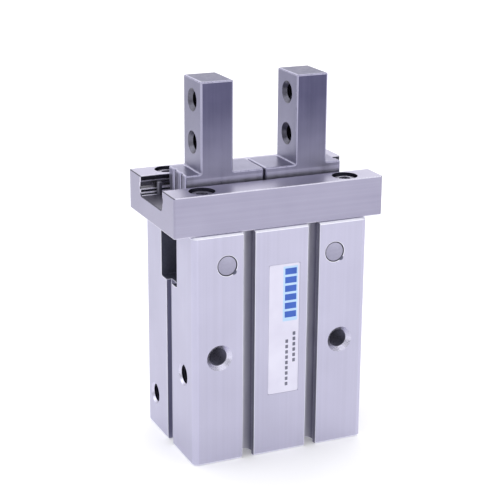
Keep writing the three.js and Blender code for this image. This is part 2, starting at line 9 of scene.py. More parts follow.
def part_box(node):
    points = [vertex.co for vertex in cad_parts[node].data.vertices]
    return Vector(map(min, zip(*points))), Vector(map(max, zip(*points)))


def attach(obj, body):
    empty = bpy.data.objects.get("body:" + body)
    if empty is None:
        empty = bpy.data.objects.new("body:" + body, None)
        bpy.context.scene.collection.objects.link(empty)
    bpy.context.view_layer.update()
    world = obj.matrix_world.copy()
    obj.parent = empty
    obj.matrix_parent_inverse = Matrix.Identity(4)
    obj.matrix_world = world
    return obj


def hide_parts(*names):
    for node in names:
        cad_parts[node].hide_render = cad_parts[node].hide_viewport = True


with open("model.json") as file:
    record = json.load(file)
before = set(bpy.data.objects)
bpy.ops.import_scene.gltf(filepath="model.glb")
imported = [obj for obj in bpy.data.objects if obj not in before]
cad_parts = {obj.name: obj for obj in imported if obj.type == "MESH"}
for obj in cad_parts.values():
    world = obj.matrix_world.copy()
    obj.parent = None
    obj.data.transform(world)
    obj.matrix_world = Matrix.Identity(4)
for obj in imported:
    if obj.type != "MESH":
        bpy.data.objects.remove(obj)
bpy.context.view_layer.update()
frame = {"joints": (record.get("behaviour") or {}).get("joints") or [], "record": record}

RECORD = frame["record"]

# Shapes are drawn in millimetres in the CAD's frame, then scaled to metres when they are finished.
# Extents and places come from the frame. The constants below are the sizes that a box can't give.
# OVER is how far a cutter reaches past a face. ROUND and FINE_ROUND count a circle's segments.
MM = 0.001
OVER = 1.0
ROUND = 72
FINE_ROUND = 128
ORIGIN = (0, 0, 0)

BODY_CORNER = 1.2
BODY_CHAMFER = 0.34
CHAMBER = {"half": 4.75, "corner": 0.5, "rod_hole": 5.0}
BORE = {"radius": 10.0, "top": 29.5}
CAP_SEAT = {"radius": 10.5, "depth": 3.5, "chamfer": 0.3}
RING_GROOVE = {"radius": 11.3, "bottom": 0.9, "top": 1.95}
SENSOR_SLOT = {"x": 7.8, "half": 1.4, "radius": 2.0, "depth": 2.9}
SIDE_SLOT = {"half": 1.65, "depth": 1.3}
MOUNT_HOLE = {"x": 14.8, "z": 25.2, "core": 2.05, "major": 2.48, "mouth": 3.0, "pitch": 0.8}
BASE_HOLE = {"x": 15.5, "depth": 8.0, "core": 2.1, "major": 2.48, "mouth": 2.6, "pitch": 0.8}
PORT = {"core": 2.1, "major": 2.42, "mouth": 2.6, "depth": 5.0, "pitch": 0.8}
PORT_PLACES = ((-8.2, 20.0), (9.6, 8.5))
AIR_WAY = {"y": 8.0, "end": -4.5, "radius": 0.8}
STAKE = {"mouth": 0.6, "bottom": 0.2, "depth": 0.4}
SHAFT_CLEARANCE = 0.12

GUIDE_CORNER = 0.45
CHANNEL = {"half": 6.8, "depth": 4.5, "corner": 0.6}
RACE = {"radius": 1.26, "spacing": 5.9, "segments": 48}
LEVER_SLOT = {"reach": 4.8, "half": 3.3}
SCREW_POCKET = {"depth": 3.6, "radius": 2.9, "hole": 1.7}
SCREW_SHANK = {"radius": 1.5, "bevel": 0.3}

POST = {"inner": 7.6, "outer": 15.2, "sunk": 2.0}
SLIDER = {"rise": 2.15, "slot_depth": 3.0, "slot_clearance": 0.06}
END_GROOVE = {"y": 1.9, "half": 0.55, "depth": 0.35}
FINGER_HOLE = {"low": 70.7, "high": 80.1, "core": 1.7, "major": 2.02, "mouth": 2.55, "pitch": 0.7}
LEVER = {"upper": 12.5, "inner": 8.8, "hub": 4.3, "tip": 2.0, "nose": 1.8, "bore": 3.02}

BUMPER_SEAT = {"inner": 5.2, "outer": 7.6, "depth": 0.7}
BOLT = {"hole": 1.52, "head": 1.8, "socket": 1.15, "socket_depth": 1.1}

CORNERS = (
    (-1, -1, "front_left"), (1, -1, "front_right"), (-1, 1, "back_left"), (1, 1, "back_right"),
)
SIDES = ((-1, "left"), (1, "right"))


def box_mm(node):
    low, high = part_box(node)
    return low / MM, high / MM


def radius_mm(low, high):
    """The radius of a round piece that has these box corners."""
    return (high.x - low.x) / 2


BODY_LOW, BODY_HIGH = box_mm("body")
GUIDE_LOW, GUIDE_HIGH = box_mm("guide_rail")
CHANNEL_FLOOR = GUIDE_HIGH.z - CHANNEL["depth"]
SCREW_SEAT = GUIDE_HIGH.z - SCREW_POCKET["depth"]


def race_height():
    """The height of the balls' centres."""
    low, high = box_mm("guide_ball_left_front_1")
    return (low.z + high.z) / 2


def lever_pivot(label):
    low, high = box_mm(f"lever_shaft_{label}")
    return (low + high) / 2


def finger_stroke():
    """Travel of one finger, in millimetres, from its joint's range."""
    joint = next(j for j in frame["joints"] if j["name"] == "finger_slide_right")
    return joint["range_m"][1] / MM


def lever_swing():
    """The levers' lean at rest, in radians: half a finger's travel lies on each side of upright."""
    return math.asin(finger_stroke() / 2 / LEVER["upper"])


# Materials. Colours are display colours, 0 to 255, and grains are lines per metre along X, Y and Z.

def linear(red, green, blue):
    """A display colour as a linear shader colour."""
    def channel(value):
        value /= 255
        return value / 12.92 if value <= 0.04045 else ((value + 0.055) / 1.055) ** 2.4
    return (channel(red), channel(green), channel(blue), 1.0)


def even(count):
    """A grain without a direction."""
    return (count, count, count)


class Recipe:
    """A material under construction: each call adds one node and gives its output."""

    def __init__(self, name, metallic=0.0, **settings):
        self.material = bpy.data.materials.new(name)
        self.material.use_nodes = True
        self.tree = self.material.node_tree
        self.shader = self.tree.nodes["Principled BSDF"]
        self.shader.inputs["Metallic"].default_value = metallic
        for socket, value in settings.items():
            self.shader.inputs[socket.replace("_", " ")].default_value = value
        self.place = self.tree.nodes.new("ShaderNodeTexCoord").outputs["Object"]

    def link(self, output, socket):
        self.tree.links.new(output, socket)

    def scaled(self, stretch):
        mapping = self.tree.nodes.new("ShaderNodeMapping")
        mapping.inputs["Scale"].default_value = stretch
        self.link(self.place, mapping.inputs["Vector"])
        return mapping.outputs["Vector"]

    def noise(self, grain, detail=3.0, roughness=0.55):
        noise = self.tree.nodes.new("ShaderNodeTexNoise")
        noise.inputs["Scale"].default_value = 1.0
        noise.inputs["Detail"].default_value = detail
        noise.inputs["Roughness"].default_value = roughness
        self.link(self.scaled(grain), noise.inputs["Vector"])
        return noise.outputs["Fac"]

    def grain_lines(self, grain):
        return self.noise(grain, detail=4.0, roughness=0.6)

    def clouds(self, count, detail=2.0):
        return self.noise(even(count), detail)

    def specks(self):
        return self.noise(even(5200), detail=2.0)

    def lathe_marks(self, scale):
        """Rings round the vertical axis through the origin."""
        wave = self.tree.nodes.new("ShaderNodeTexWave")
        wave.wave_type = "RINGS"
        wave.rings_direction = "Z"
        wave.inputs["Scale"].default_value = scale
        wave.inputs["Distortion"].default_value = 0.6
        wave.inputs["Detail"].default_value = 1.0
        self.link(self.place, wave.inputs["Vector"])
        return wave.outputs["Fac"]

    def span(self, value, low, high, start=0.3, end=0.7):
        ranged = self.tree.nodes.new("ShaderNodeMapRange")
        ranged.inputs["From Min"].default_value = start
        ranged.inputs["From Max"].default_value = end
        ranged.inputs["To Min"].default_value = low
        ranged.inputs["To Max"].default_value = high
        self.link(value, ranged.inputs["Value"])
        return ranged.outputs["Result"]

    def distance(self, axis):
        """Distance in metres from the frame's origin along one axis."""
        parts = self.tree.nodes.new("ShaderNodeSeparateXYZ")
        self.link(self.place, parts.inputs["Vector"])
        return self.combine(parts.outputs[axis], 0.0, "ABSOLUTE")

    def blend(self, factor, first, second):
        """A mix of two colours, each a display colour or another node's output."""
        mix = self.tree.nodes.new("ShaderNodeMix")
        mix.data_type = "RGBA"
        self.link(factor, mix.inputs["Factor"])
        for value, socket in ((first, mix.inputs[6]), (second, mix.inputs[7])):
            if isinstance(value, tuple):
                socket.default_value = linear(*value)
            else:
                self.link(value, socket)
        return mix.outputs[2]

    def combine(self, first, second, operation="ADD"):
        maths = self.tree.nodes.new("ShaderNodeMath")
        maths.operation = operation
        for value, socket in ((first, maths.inputs[0]), (second, maths.inputs[1])):
            if isinstance(value, (int, float)):
                socket.default_value = value
            else:
                self.link(value, socket)
        return maths.outputs["Value"]

    def colour(self, output):
        self.link(output, self.shader.inputs["Base Color"])

    def roughness(self, output):
        self.link(output, self.shader.inputs["Roughness"])

    def relief(self, height, strength, depth_mm):
        bump = self.tree.nodes.new("ShaderNodeBump")
        bump.inputs["Strength"].default_value = strength
        bump.inputs["Distance"].default_value = depth_mm * MM
        self.link(height, bump.inputs["Height"])
        self.link(bump.outputs["Normal"], self.shader.inputs["Normal"])

    def grain_relief(self, lines, specks, depth_mm=0.01):
        """Relief from a grain's lines and, more weakly, from its specks."""
        weak_specks = self.combine(specks, 0.35, "MULTIPLY")
        self.relief(self.combine(lines, weak_specks), 0.35, depth_mm)


def machined(name, dark, light, rough, grain, depth_mm=0.01, metallic=0.9):
    """Metal with a grain between a dark and a light colour."""
    recipe = Recipe(name, metallic)
    lines, clouds, specks = recipe.grain_lines(grain), recipe.clouds(70), recipe.specks()
    tone = recipe.combine(recipe.span(lines, 0.0, 0.5), recipe.span(clouds, 0.0, 0.5))
    recipe.colour(recipe.blend(tone, dark, light))
    low, high = rough
    spread = (high - low) / 2
    grainy = recipe.span(lines, low, low + spread)
    recipe.roughness(recipe.combine(grainy, recipe.span(specks, 0.0, spread)))
    recipe.grain_relief(lines, specks, depth_mm)
    return recipe.material


def graded_painted_light(name, near, far, fade, rough, grain, metallic=0.9, **settings):
    """Metal with painted light and shade: its tint changes along an axis. Each tint is a dark and a
    light colour of the grain.
    The fade is its axis, the distances where it starts and ends, and the power that shapes it."""
    axis, start, end, power = fade
    recipe = Recipe(name, metallic, **settings)
    lines, clouds, specks = recipe.grain_lines(grain), recipe.clouds(110), recipe.specks()
    tone = recipe.combine(recipe.span(lines, 0.0, 0.4), recipe.span(clouds, 0.0, 0.6))
    travel = recipe.span(recipe.distance(axis), 0.0, 1.0, start, end)
    travel = recipe.combine(travel, power, "POWER")
    recipe.colour(recipe.blend(travel, recipe.blend(tone, *near), recipe.blend(tone, *far)))
    grainy = recipe.span(lines, *rough)
    recipe.roughness(recipe.combine(grainy, recipe.span(specks, 0.0, 0.06)))
    recipe.grain_relief(lines, specks)
    return recipe.material


def turned_metal(name, dark, light, rough):
    """Lathe-turned metal, with fine rings and a little staining."""
    recipe = Recipe(name, 0.9)
    rings, clouds = recipe.lathe_marks(900), recipe.clouds(140, 3.0)
    recipe.colour(recipe.blend(recipe.span(clouds, 0.0, 1.0), dark, light))
    recipe.roughness(recipe.span(rings, *rough, 0.0, 1.0))
    recipe.relief(rings, 0.3, 0.008)
    return recipe.material


def elastomer(name, dark, light):
    recipe = Recipe(name)
    pores, bloom = recipe.noise(even(4200)), recipe.clouds(260, 3.0)
    recipe.colour(recipe.blend(recipe.span(bloom, 0.0, 1.0), dark, light))
    recipe.roughness(recipe.span(pores, 0.55, 0.8))
    recipe.relief(pores, 0.4, 0.015)
    return recipe.material


def printed(name, dark, light, rough=(0.35, 0.5)):
    """Film or ink: a faint paper tooth and slight unevenness of the print."""
    recipe = Recipe(name)
    tooth, wash = recipe.noise(even(3600), detail=2.0), recipe.clouds(180)
    recipe.colour(recipe.blend(recipe.span(wash, 0.0, 1.0), dark, light))
    recipe.roughness(recipe.span(tooth, *rough))
    recipe.relief(tooth, 0.2, 0.004)
    return recipe.material


VERTICAL = (1500, 1500, 9)
ALONG_X = (9, 1300, 1300)
CROSSWISE = (1100, 1100, 30)
EVEN = even(2600)

ANODISED = machined("anodised_aluminium", (180, 178, 199), (192, 190, 211), (0.38, 0.5),
                    VERTICAL, metallic=0.7)
# Painted highlight: the body's round vertical corners, lighter than its faces.
ANODISED_CORNER_HIGHLIGHT = machined("anodised_corner_highlight", (187, 185, 208), (198, 196, 218), (0.36, 0.48),
                           VERTICAL, metallic=0.65)
# Edge wear and a painted highlight: the body's rims and rounded edges, brighter than its faces.
ANODISED_WEAR_AND_HIGHLIGHT = machined("anodised_edge_wear_and_highlight", (222, 222, 236), (240, 240, 250), (0.3, 0.42),
                         VERTICAL, metallic=0.6)
# Painted shade: dark inside the holes, bores and air ways.
DRILLED_SHADE = machined("drilled_aluminium_shade", (66, 65, 80), (92, 91, 108), (0.24, 0.38), EVEN)
MOUTH = machined("countersunk_aluminium", (196, 194, 214), (214, 212, 230), (0.2, 0.34), EVEN)
# Painted shade: the side slots' walls, darker than the body they are cut in.
SIDE_SLOT_SHADE = machined("side_slot_aluminium_shade", (130, 129, 152), (152, 151, 174), (0.4, 0.54), VERTICAL)
# Sensor slot walls: painted light and shade, lighter on the deep back wall and darker towards the
# face.
SLOT_WALL_SHADING = graded_painted_light("slot_aluminium_painted_light", ((222, 221, 232), (234, 233, 242)),
                   ((128, 126, 146), (146, 144, 164)), ("Y", 0.0098, 0.0112, 1.0),
                   (0.36, 0.46), VERTICAL, 0.6)
# Painted shade: the lever chamber, the pin holes and the stake pits, darker than the body they are
# cut in.
CHAMBER_SHADE = machined("chamber_aluminium_shade", (96, 98, 116), (124, 126, 146), (0.4, 0.56),
                        EVEN, metallic=0.8)
GUIDE_STEEL = machined("guide_steel", (150, 147, 169), (166, 163, 184), (0.3, 0.42),
                       ALONG_X, metallic=0.85)
# Painted highlight: the guide's rounded edges, brighter than its faces.
GUIDE_EDGE_HIGHLIGHT = machined("guide_edge_highlight", (204, 202, 218), (228, 226, 240), (0.24, 0.34),
                      ALONG_X, metallic=0.8)
# Painted shade: the guide's channel, the lever slots and the fingers' grooves and slots are darker
# than the steel they are cut in.
CHANNEL_SHADE = machined("channel_steel_shade", (44, 43, 52), (66, 65, 76), (0.3, 0.42), ALONG_X)
# Painted light: a lighter copy for the channel's upward faces.
CHANNEL_BED_LIT = machined("channel_bed_lit_steel", (112, 110, 124), (136, 134, 148), (0.32, 0.46), ALONG_X)
# Painted shade: a dark line on the rounded edges between the guide's top and its ends.
END_EDGE_SHADE = machined("guide_end_edge_shade", (74, 73, 88), (96, 95, 110), (0.3, 0.42), EVEN)
RACE_STEEL = machined("race_steel", (116, 114, 122), (148, 146, 154), (0.16, 0.26), ALONG_X)
# Fingers: painted light and shade, light low on the slider and darkening fast up the post.
FINGER_STEEL_SHADING = graded_painted_light("finger_steel", ((168, 166, 187), (186, 184, 205)),
                      ((73, 72, 97), (92, 90, 117)), ("Z", 0.0635, 0.08, 0.22),
                      (0.26, 0.36), CROSSWISE, Specular_Tint=(0.76, 0.76, 0.8, 1.0))
# Painted light: a lighter copy of the fingers' painted light and shade for their faces towards the
# sides.
FINGER_SIDE_LIT = graded_painted_light("finger_side_lit_steel", ((158, 156, 178), (176, 174, 196)),
                     ((108, 107, 130), (126, 124, 148)), ("Z", 0.0635, 0.08, 0.35),
                     (0.26, 0.36), CROSSWISE)
# Painted highlight: the fingers' rounded edges, brighter than their faces.
FINGER_EDGE_HIGHLIGHT = machined("finger_edge_highlight", (150, 148, 172), (176, 174, 198), (0.24, 0.34),
                       CROSSWISE, metallic=0.85)
# Painted shade: dark inside the fingers' threaded holes.
THREAD_SHADE = machined("thread_steel_shade", (34, 33, 44), (58, 56, 72), (0.26, 0.4), EVEN)
# Painted shade: dark inside the guide's screw pockets.
BORE_SHADE = machined("bore_steel_shade", (44, 43, 54), (66, 64, 78), (0.3, 0.44), EVEN)
SCREW_STEEL = machined("screw_steel", (150, 148, 164), (180, 178, 194), (0.24, 0.38), EVEN)
DARK_STEEL = machined("dark_steel", (88, 87, 98), (122, 121, 134), (0.28, 0.42), EVEN)
BRIGHT_STEEL = machined("bright_steel", (198, 197, 212), (222, 221, 234), (0.12, 0.22), EVEN, 0.003)
PIN_FACE = machined("pin_face", (144, 142, 162), (166, 164, 184), (0.32, 0.46),
                    EVEN, metallic=0.8)
TURNED = turned_metal("turned_aluminium", (176, 176, 188), (206, 206, 216), (0.22, 0.36))
BRONZE = turned_metal("bearing_bronze", (136, 104, 62), (168, 132, 84), (0.28, 0.44))
RUBBER = elastomer("seal_rubber", (24, 24, 27), (40, 40, 44))
MAGNET = elastomer("magnet_rubber", (38, 35, 36), (58, 54, 54))
LABEL_FILM = printed("label_film", (216, 213, 232), (225, 223, 240))
INK_BLUE = printed("label_ink_blue", (40, 82, 176), (52, 98, 194), (0.3, 0.42))
INK_PALE = printed("label_ink_pale", (176, 208, 240), (192, 220, 246), (0.3, 0.42))
INK_GREY = printed("label_ink_grey", (92, 92, 112), (116, 116, 134), (0.35, 0.5))


# Solids

def make_object(name, bm, material):
    bmesh.ops.recalc_face_normals(bm, faces=bm.faces)
    mesh = bpy.data.meshes.new(name)
    bm.to_mesh(mesh)
    bm.free()
    mesh.materials.append(material)
    obj = bpy.data.objects.new(name, mesh)
    bpy.context.scene.collection.objects.link(obj)
    return obj


def on_axis(axis, u, v, w):
    """A point at (u, v) in the drawing plane and w along the axis."""
    return {"x": (w, u, v), "y": (u, w, v), "z": (u, v, w)}[axis]


def prism(outline, axis, start, end, material):
    """A straight solid with the outline's section, between two places on an axis."""
    bm = bmesh.new()
    near = [bm.verts.new(on_axis(axis, u, v, start)) for u, v in outline]
    far = [bm.verts.new(on_axis(axis, u, v, end)) for u, v in outline]
    bm.faces.new(near)
    bm.faces.new(far)
    count = len(outline)
    for i in range(count):
        j = (i + 1) % count
        bm.faces.new((near[i], near[j], far[j], far[i]))
    return make_object("prism", bm, material)


def turned(profile, axis, at, material, segments=ROUND):
    """A body of revolution whose (radius, place) pairs close on themselves or end on the axis."""
    bm = bmesh.new()
    rows = []
    closed = profile[0] == profile[-1]
    on_centre = 1e-9
    for radius, w in profile[:-1] if closed else profile:
        if radius < on_centre:
            rows.append([bm.verts.new(Vector(on_axis(axis, 0, 0, w)) + Vector(at))])
            continue
        angles = [2 * math.pi * i / segments for i in range(segments)]
        points = [on_axis(axis, radius * math.cos(a), radius * math.sin(a), w) for a in angles]
        rows.append([bm.verts.new(Vector(point) + Vector(at)) for point in points])
    pairs = list(zip(rows, rows[1:]))
    if closed:
        pairs.append((rows[-1], rows[0]))
    for first, second in pairs:
        for i in range(segments):
            j = (i + 1) % segments
            corners = ((first, i), (first, j), (second, j), (second, i))
            distinct = list(dict.fromkeys(row[k % len(row)] for row, k in corners))
            if len(distinct) > 2:
                bm.faces.new(distinct)
    return make_object("turned", bm, material)


def chamfered_prism(low, high, radius, chamfer, materials, steps=10):
    """An upright bar with chamfered ends and round corners, each corner drawn in so many steps.
    The materials are its faces', its end rims' and its corners'; the rims' and the corners' are
    brighter, painted highlights."""
    bm = bmesh.new()
    rows = []
    levels = ((chamfer, low.z), (0, low.z + chamfer), (0, high.z - chamfer), (chamfer, high.z))
    for inset, z in levels:
        near, far = (low.x + inset, low.y + inset), (high.x - inset, high.y - inset)
        outline = rounded_outline(near, far, radius, steps)
        rows.append([bm.verts.new((u, v, z)) for u, v in outline])
    bm.faces.new(rows[0])
    bm.faces.new(rows[-1])
    for place, (first, second) in enumerate(zip(rows, rows[1:])):
        for i in range(len(first)):
            j = (i + 1) % len(first)
            face = bm.faces.new((first[i], first[j], second[j], second[i]))
            flat = i % (steps + 1) == steps
            # Rims get the bright edge material and round corners the corner one, both painted
            # highlights.
            face.material_index = 1 if place != 1 else 0 if flat else 2
    obj = make_object("bar", bm, materials[0])
    for material in materials[1:]:
        obj.data.materials.append(material)
    return obj


def rod(axis, at, start, end, radius, material, segments=ROUND):
    profile = [(0, start), (radius, start), (radius, end), (0, end)]
    return turned(profile, axis, at, material, segments)


def cuboid(low, high, material):
    outline = [(low[0], low[1]), (high[0], low[1]), (high[0], high[1]), (low[0], high[1])]
    return prism(outline, "z", low[2], high[2], material)


def arc(centre, radius, start, end, steps):
    """Points on an arc, its angles in degrees, both ends included."""
    angles = [math.radians(start + (end - start) * i / steps) for i in range(steps + 1)]
    return [(centre[0] + radius * math.cos(a), centre[1] + radius * math.sin(a)) for a in angles]


def rounded_outline(low, high, radius, steps=8):
    """A rectangle from low to high with round corners."""
    (u0, v0), (u1, v1) = low, high
    return (arc((u1 - radius, v1 - radius), radius, 0, 90, steps)
            + arc((u0 + radius, v1 - radius), radius, 90, 180, steps)
            + arc((u0 + radius, v0 + radius), radius, 180, 270, steps)
            + arc((u1 - radius, v0 + radius), radius, 270, 360, steps))


def bake_modifiers(obj):
    """Replaces the mesh by the one that its modifiers give."""
    depsgraph = bpy.context.evaluated_depsgraph_get()
    mesh = bpy.data.meshes.new_from_object(obj.evaluated_get(depsgraph))
    obj.modifiers.clear()
    obj.data = mesh


def boolean(obj, tools, operation):
    """Cuts or joins the tools one by one, and removes each."""
    for tool in tools:
        modifier = obj.modifiers.new("boolean", "BOOLEAN")
        modifier.operation = operation
        modifier.solver = "EXACT"
        modifier.material_mode = "TRANSFER"
        modifier.object = tool
        bake_modifiers(obj)
        bpy.data.objects.remove(tool)


def cut(obj, tools):
    boolean(obj, tools, "DIFFERENCE")


def join(obj, tools):
    boolean(obj, tools, "UNION")


def soften(obj, width, edge_material=None, segments=3):
    """Rounds every sharp edge, in another material where one is given; the bright ones are painted
    highlights, on the body also edge wear.
    """
    bevel = obj.modifiers.new("bevel", "BEVEL")
    bevel.width = width
    bevel.segments = segments
    bevel.limit_method = "ANGLE"
    bevel.angle_limit = math.radians(28)
    bevel.use_clamp_overlap = False
    bevel.miter_outer = "MITER_ARC"
    if edge_material:
        if edge_material.name not in obj.data.materials:
            obj.data.materials.append(edge_material)
        bevel.material = obj.data.materials.find(edge_material.name)
    bake_modifiers(obj)


def repaint_shading(obj, material, shading_material, looks_that_way):
    """Gives a lighter or darker copy, painted light and shade, to those faces of one material whose
    normal passes the test.
    """
    mesh = obj.data
    old = mesh.materials.find(material.name)
    mesh.materials.append(shading_material)
    for face in mesh.polygons:
        if face.material_index == old and looks_that_way(face.normal):
            face.material_index = len(mesh.materials) - 1


BODIES = RECORD["behaviour"]["bodies"]
NODE_BODY = {node: body for body, nodes in BODIES.items() for node in nodes}


def shade(obj):
    """Smooth shading that keeps real corners crisp and flat faces flat."""
    mesh = obj.data
    mesh.polygons.foreach_set("use_smooth", [True] * len(mesh.polygons))
    mesh.set_sharp_from_angle(angle=math.radians(35))
    weighted = obj.modifiers.new("weighted_normals", "WEIGHTED_NORMAL")
    weighted.keep_sharp = True


def finish_piece(obj, name, node, replaced=True):
    """Scales a drawn piece to metres, and makes it ride and count as the CAD node it stands for."""
    obj.name = name
    obj.data.name = name
    obj.data.transform(Matrix.Scale(MM, 4))
    obj.location = obj.location * MM
    shade(obj)
    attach(obj, NODE_BODY[node])
    if replaced:
        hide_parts(node)


# Holes

def threaded(axis, at, start, end, size, material):
    """A cutter with ring-shaped thread grooves, its core radius between them. No groove lies under
    a countersunk mouth."""
    core, major, pitch = size["core"], size["major"], size["pitch"]
    crest = pitch * 0.12
    lead = OVER + size["mouth"] - core
    profile = [(0, start), (core, start)]
    place = start + lead
    while place + pitch < end - lead:
        middle = place + pitch * 0.5
        profile += [(core, place), (major, middle - crest), (major, middle + crest),
                    (core, place + pitch - crest)]
        place += pitch
    profile += [(core, end), (0, end)]
    return turned(profile, axis, at, material)


def countersink(axis, at, place, inward, size, material):
    """The conical mouth of a hole whose face is at place and whose depth runs along inward."""
    depth = size["mouth"] - size["core"]
    outside, inside = place - inward * OVER, place + inward * depth
    profile = [(0, outside), (size["mouth"] + OVER, outside), (size["core"], inside), (0, inside)]
    return turned(profile, axis, at, material)


# Housing

def keyhole(face):
    """The section of a sensor slot in the front (-1) or back (1) face, about its centre line."""
    half, radius, depth = SENSOR_SLOT["half"], SENSOR_SLOT["radius"], SENSOR_SLOT["depth"]
    lip = math.degrees(math.acos(half / radius))
    round_bottom = arc((0, depth), radius, -lip, 180 + lip, 40)
    outline = [(half, -OVER)] + round_bottom + [(-half, -OVER)]
    edge = BODY_HIGH.y if face > 0 else BODY_LOW.y
    return [(-face * u, edge - face * v) for u, v in outline]


def body_slots():
    top, bottom = BODY_HIGH.z + OVER, BODY_LOW.z - OVER
    tools = []
    for side, face, _ in CORNERS:
        outline = [(u + side * SENSOR_SLOT["x"], v) for u, v in keyhole(face)]
        tools.append(prism(outline, "z", bottom, top, SLOT_WALL_SHADING))
    half = SIDE_SLOT["half"]
    for side, _ in SIDES:
        near, far = BODY_HIGH.x - SIDE_SLOT["depth"], BODY_HIGH.x + OVER
        low_x, high_x = sorted((side * near, side * far))
        high = (high_x, half, chamber_floor() + OVER)
        tools.append(cuboid((low_x, -half, bottom), high, SIDE_SLOT_SHADE))
    return tools


def chamber_floor():
    """The lever chamber's floor lies 1 mm under the rod end, where the joint block starts."""
    return box_mm("joint_block")[0].z - 1.0


def lever_chamber():
    """The chamber for the levers, open to both sides, and the rod's way into it from below."""
    half, floor = CHAMBER["half"], chamber_floor()
    outline = rounded_outline((-half, floor), (half, BODY_HIGH.z + 4 * OVER), CHAMBER["corner"])
    low, high = BORE["top"] - OVER, floor + OVER
    return [
        prism(outline, "x", BODY_LOW.x - OVER, BODY_HIGH.x + OVER, CHAMBER_SHADE),
        rod("z", ORIGIN, low, high, CHAMBER["rod_hole"], DRILLED_SHADE),
    ]


def cylinder_bores():
    """The cylinder's bore, its cap's seat, the retaining ring's groove and the mouth's chamfer."""
    seat, chamfer = CAP_SEAT["radius"], CAP_SEAT["chamfer"]
    bore, groove = BORE["radius"], RING_GROOVE["radius"]
    profile = [
        (0, -OVER), (seat + chamfer + OVER, -OVER), (seat, chamfer), (seat, RING_GROOVE["bottom"]),
        (groove, RING_GROOVE["bottom"]), (groove, RING_GROOVE["top"]), (seat, RING_GROOVE["top"]),
        (seat, CAP_SEAT["depth"]), (bore, CAP_SEAT["depth"]), (bore, BORE["top"]), (0, BORE["top"]),
    ]
    return [turned(profile, "z", ORIGIN, DRILLED_SHADE, FINE_ROUND)]


def shaft_holes():
    tools = []
    for _, label in SIDES:
        low, high = box_mm(f"lever_shaft_{label}")
        centre = lever_pivot(label)
        radius = radius_mm(low, high) + SHAFT_CLEARANCE
        start, end = low.y - 2 * OVER, high.y + 2 * OVER
        tools.append(rod("y", (centre.x, 0, centre.z), start, end, radius, CHAMBER_SHADE))
    return tools


def stake_marks():
    """The punch mark that locks each lever pin: a small pit across its rim, low on its right."""
    tools = []
    for _, label in SIDES:
        centre = lever_pivot(label)
        reach = radius_mm(*box_mm(f"lever_shaft_{label}")) * math.sqrt(0.5)
        at = (centre.x + reach, 0, centre.z - reach)
        for face, edge in ((-1, BODY_LOW.y), (1, BODY_HIGH.y)):
            outside, inside = edge + face * OVER, edge - face * STAKE["depth"]
            profile = [(0, outside), (STAKE["mouth"] + OVER, outside), (STAKE["bottom"], inside),
                       (0, inside)]
            tools.append(turned(profile, "y", at, CHAMBER_SHADE, 24))
    return tools


def hole_mouths():
    tools = []
    for side, _ in SIDES:
        at = (side * MOUNT_HOLE["x"], 0, MOUNT_HOLE["z"])
        tools.append(countersink("y", at, BODY_LOW.y, 1, MOUNT_HOLE, MOUTH))
        tools.append(countersink("y", at, BODY_HIGH.y, -1, MOUNT_HOLE, MOUTH))
        base = (side * BASE_HOLE["x"], 0, 0)
        tools.append(countersink("z", base, BODY_LOW.z, 1, BASE_HOLE, MOUTH))
    for y, z in PORT_PLACES:
        tools.append(countersink("x", (0, y, z), BODY_LOW.x, 1, PORT, MOUTH))
    return tools


def body_threads():
    """The threaded holes, and from each port the narrow way of the air into the cylinder."""
    tools = []
    for side, _ in SIDES:
        at = (side * MOUNT_HOLE["x"], 0, MOUNT_HOLE["z"])
        start, end = BODY_LOW.y - OVER, BODY_HIGH.y + OVER
        tools.append(threaded("y", at, start, end, MOUNT_HOLE, DRILLED_SHADE))
        base, start = (side * BASE_HOLE["x"], 0, 0), BODY_LOW.z - OVER
        tools.append(threaded("z", base, start, BASE_HOLE["depth"], BASE_HOLE, DRILLED_SHADE))
    for y, z in PORT_PLACES:
        bottom = BODY_LOW.x + PORT["depth"]
        tools.append(threaded("x", (0, y, z), BODY_LOW.x - OVER, bottom, PORT, DRILLED_SHADE))
        at = (0, math.copysign(AIR_WAY["y"], y), z)
        tools.append(rod("x", at, bottom - OVER, AIR_WAY["end"], AIR_WAY["radius"], DRILLED_SHADE, 32))
    return tools


def label_recess():
    low, high = box_mm("rating_label")
    gap = 0.05
    near = (low.x - gap, BODY_LOW.y - OVER, low.z - gap)
    return cuboid(near, (high.x + gap, high.y, high.z + gap), ANODISED)


def build_body():
    materials = (ANODISED, ANODISED_WEAR_AND_HIGHLIGHT, ANODISED_CORNER_HIGHLIGHT)
    body = chamfered_prism(BODY_LOW, BODY_HIGH, BODY_CORNER, BODY_CHAMFER, materials)
    cut(body, body_slots())
    cut(body, lever_chamber())
    cut(body, shaft_holes())
    soften(body, 0.14, ANODISED_WEAR_AND_HIGHLIGHT, 2)
    cut(body, cylinder_bores())
    cut(body, hole_mouths())
    cut(body, stake_marks())
    cut(body, body_threads())
    cut(body, [label_recess()])
    finish_piece(body, "machined_body", "body")


# Guide

def channel_section():
    """The channel's section, with its lower corners bevelled."""
    half, corner = CHANNEL["half"], CHANNEL["corner"]
    floor, top = CHANNEL_FLOOR, GUIDE_HIGH.z + OVER
    return [(-half + corner, floor), (half - corner, floor), (half, floor + corner),
            (half, top), (-half, top), (-half, floor + corner)]


def cut_races(obj, start, end):
    """The grooves that the ball rows run in."""
    height = race_height()
    for face in (-1, 1):
        at = (0, face * RACE["spacing"], height)
        cut(obj, [rod("x", at, start, end, RACE["radius"], RACE_STEEL, RACE["segments"])])


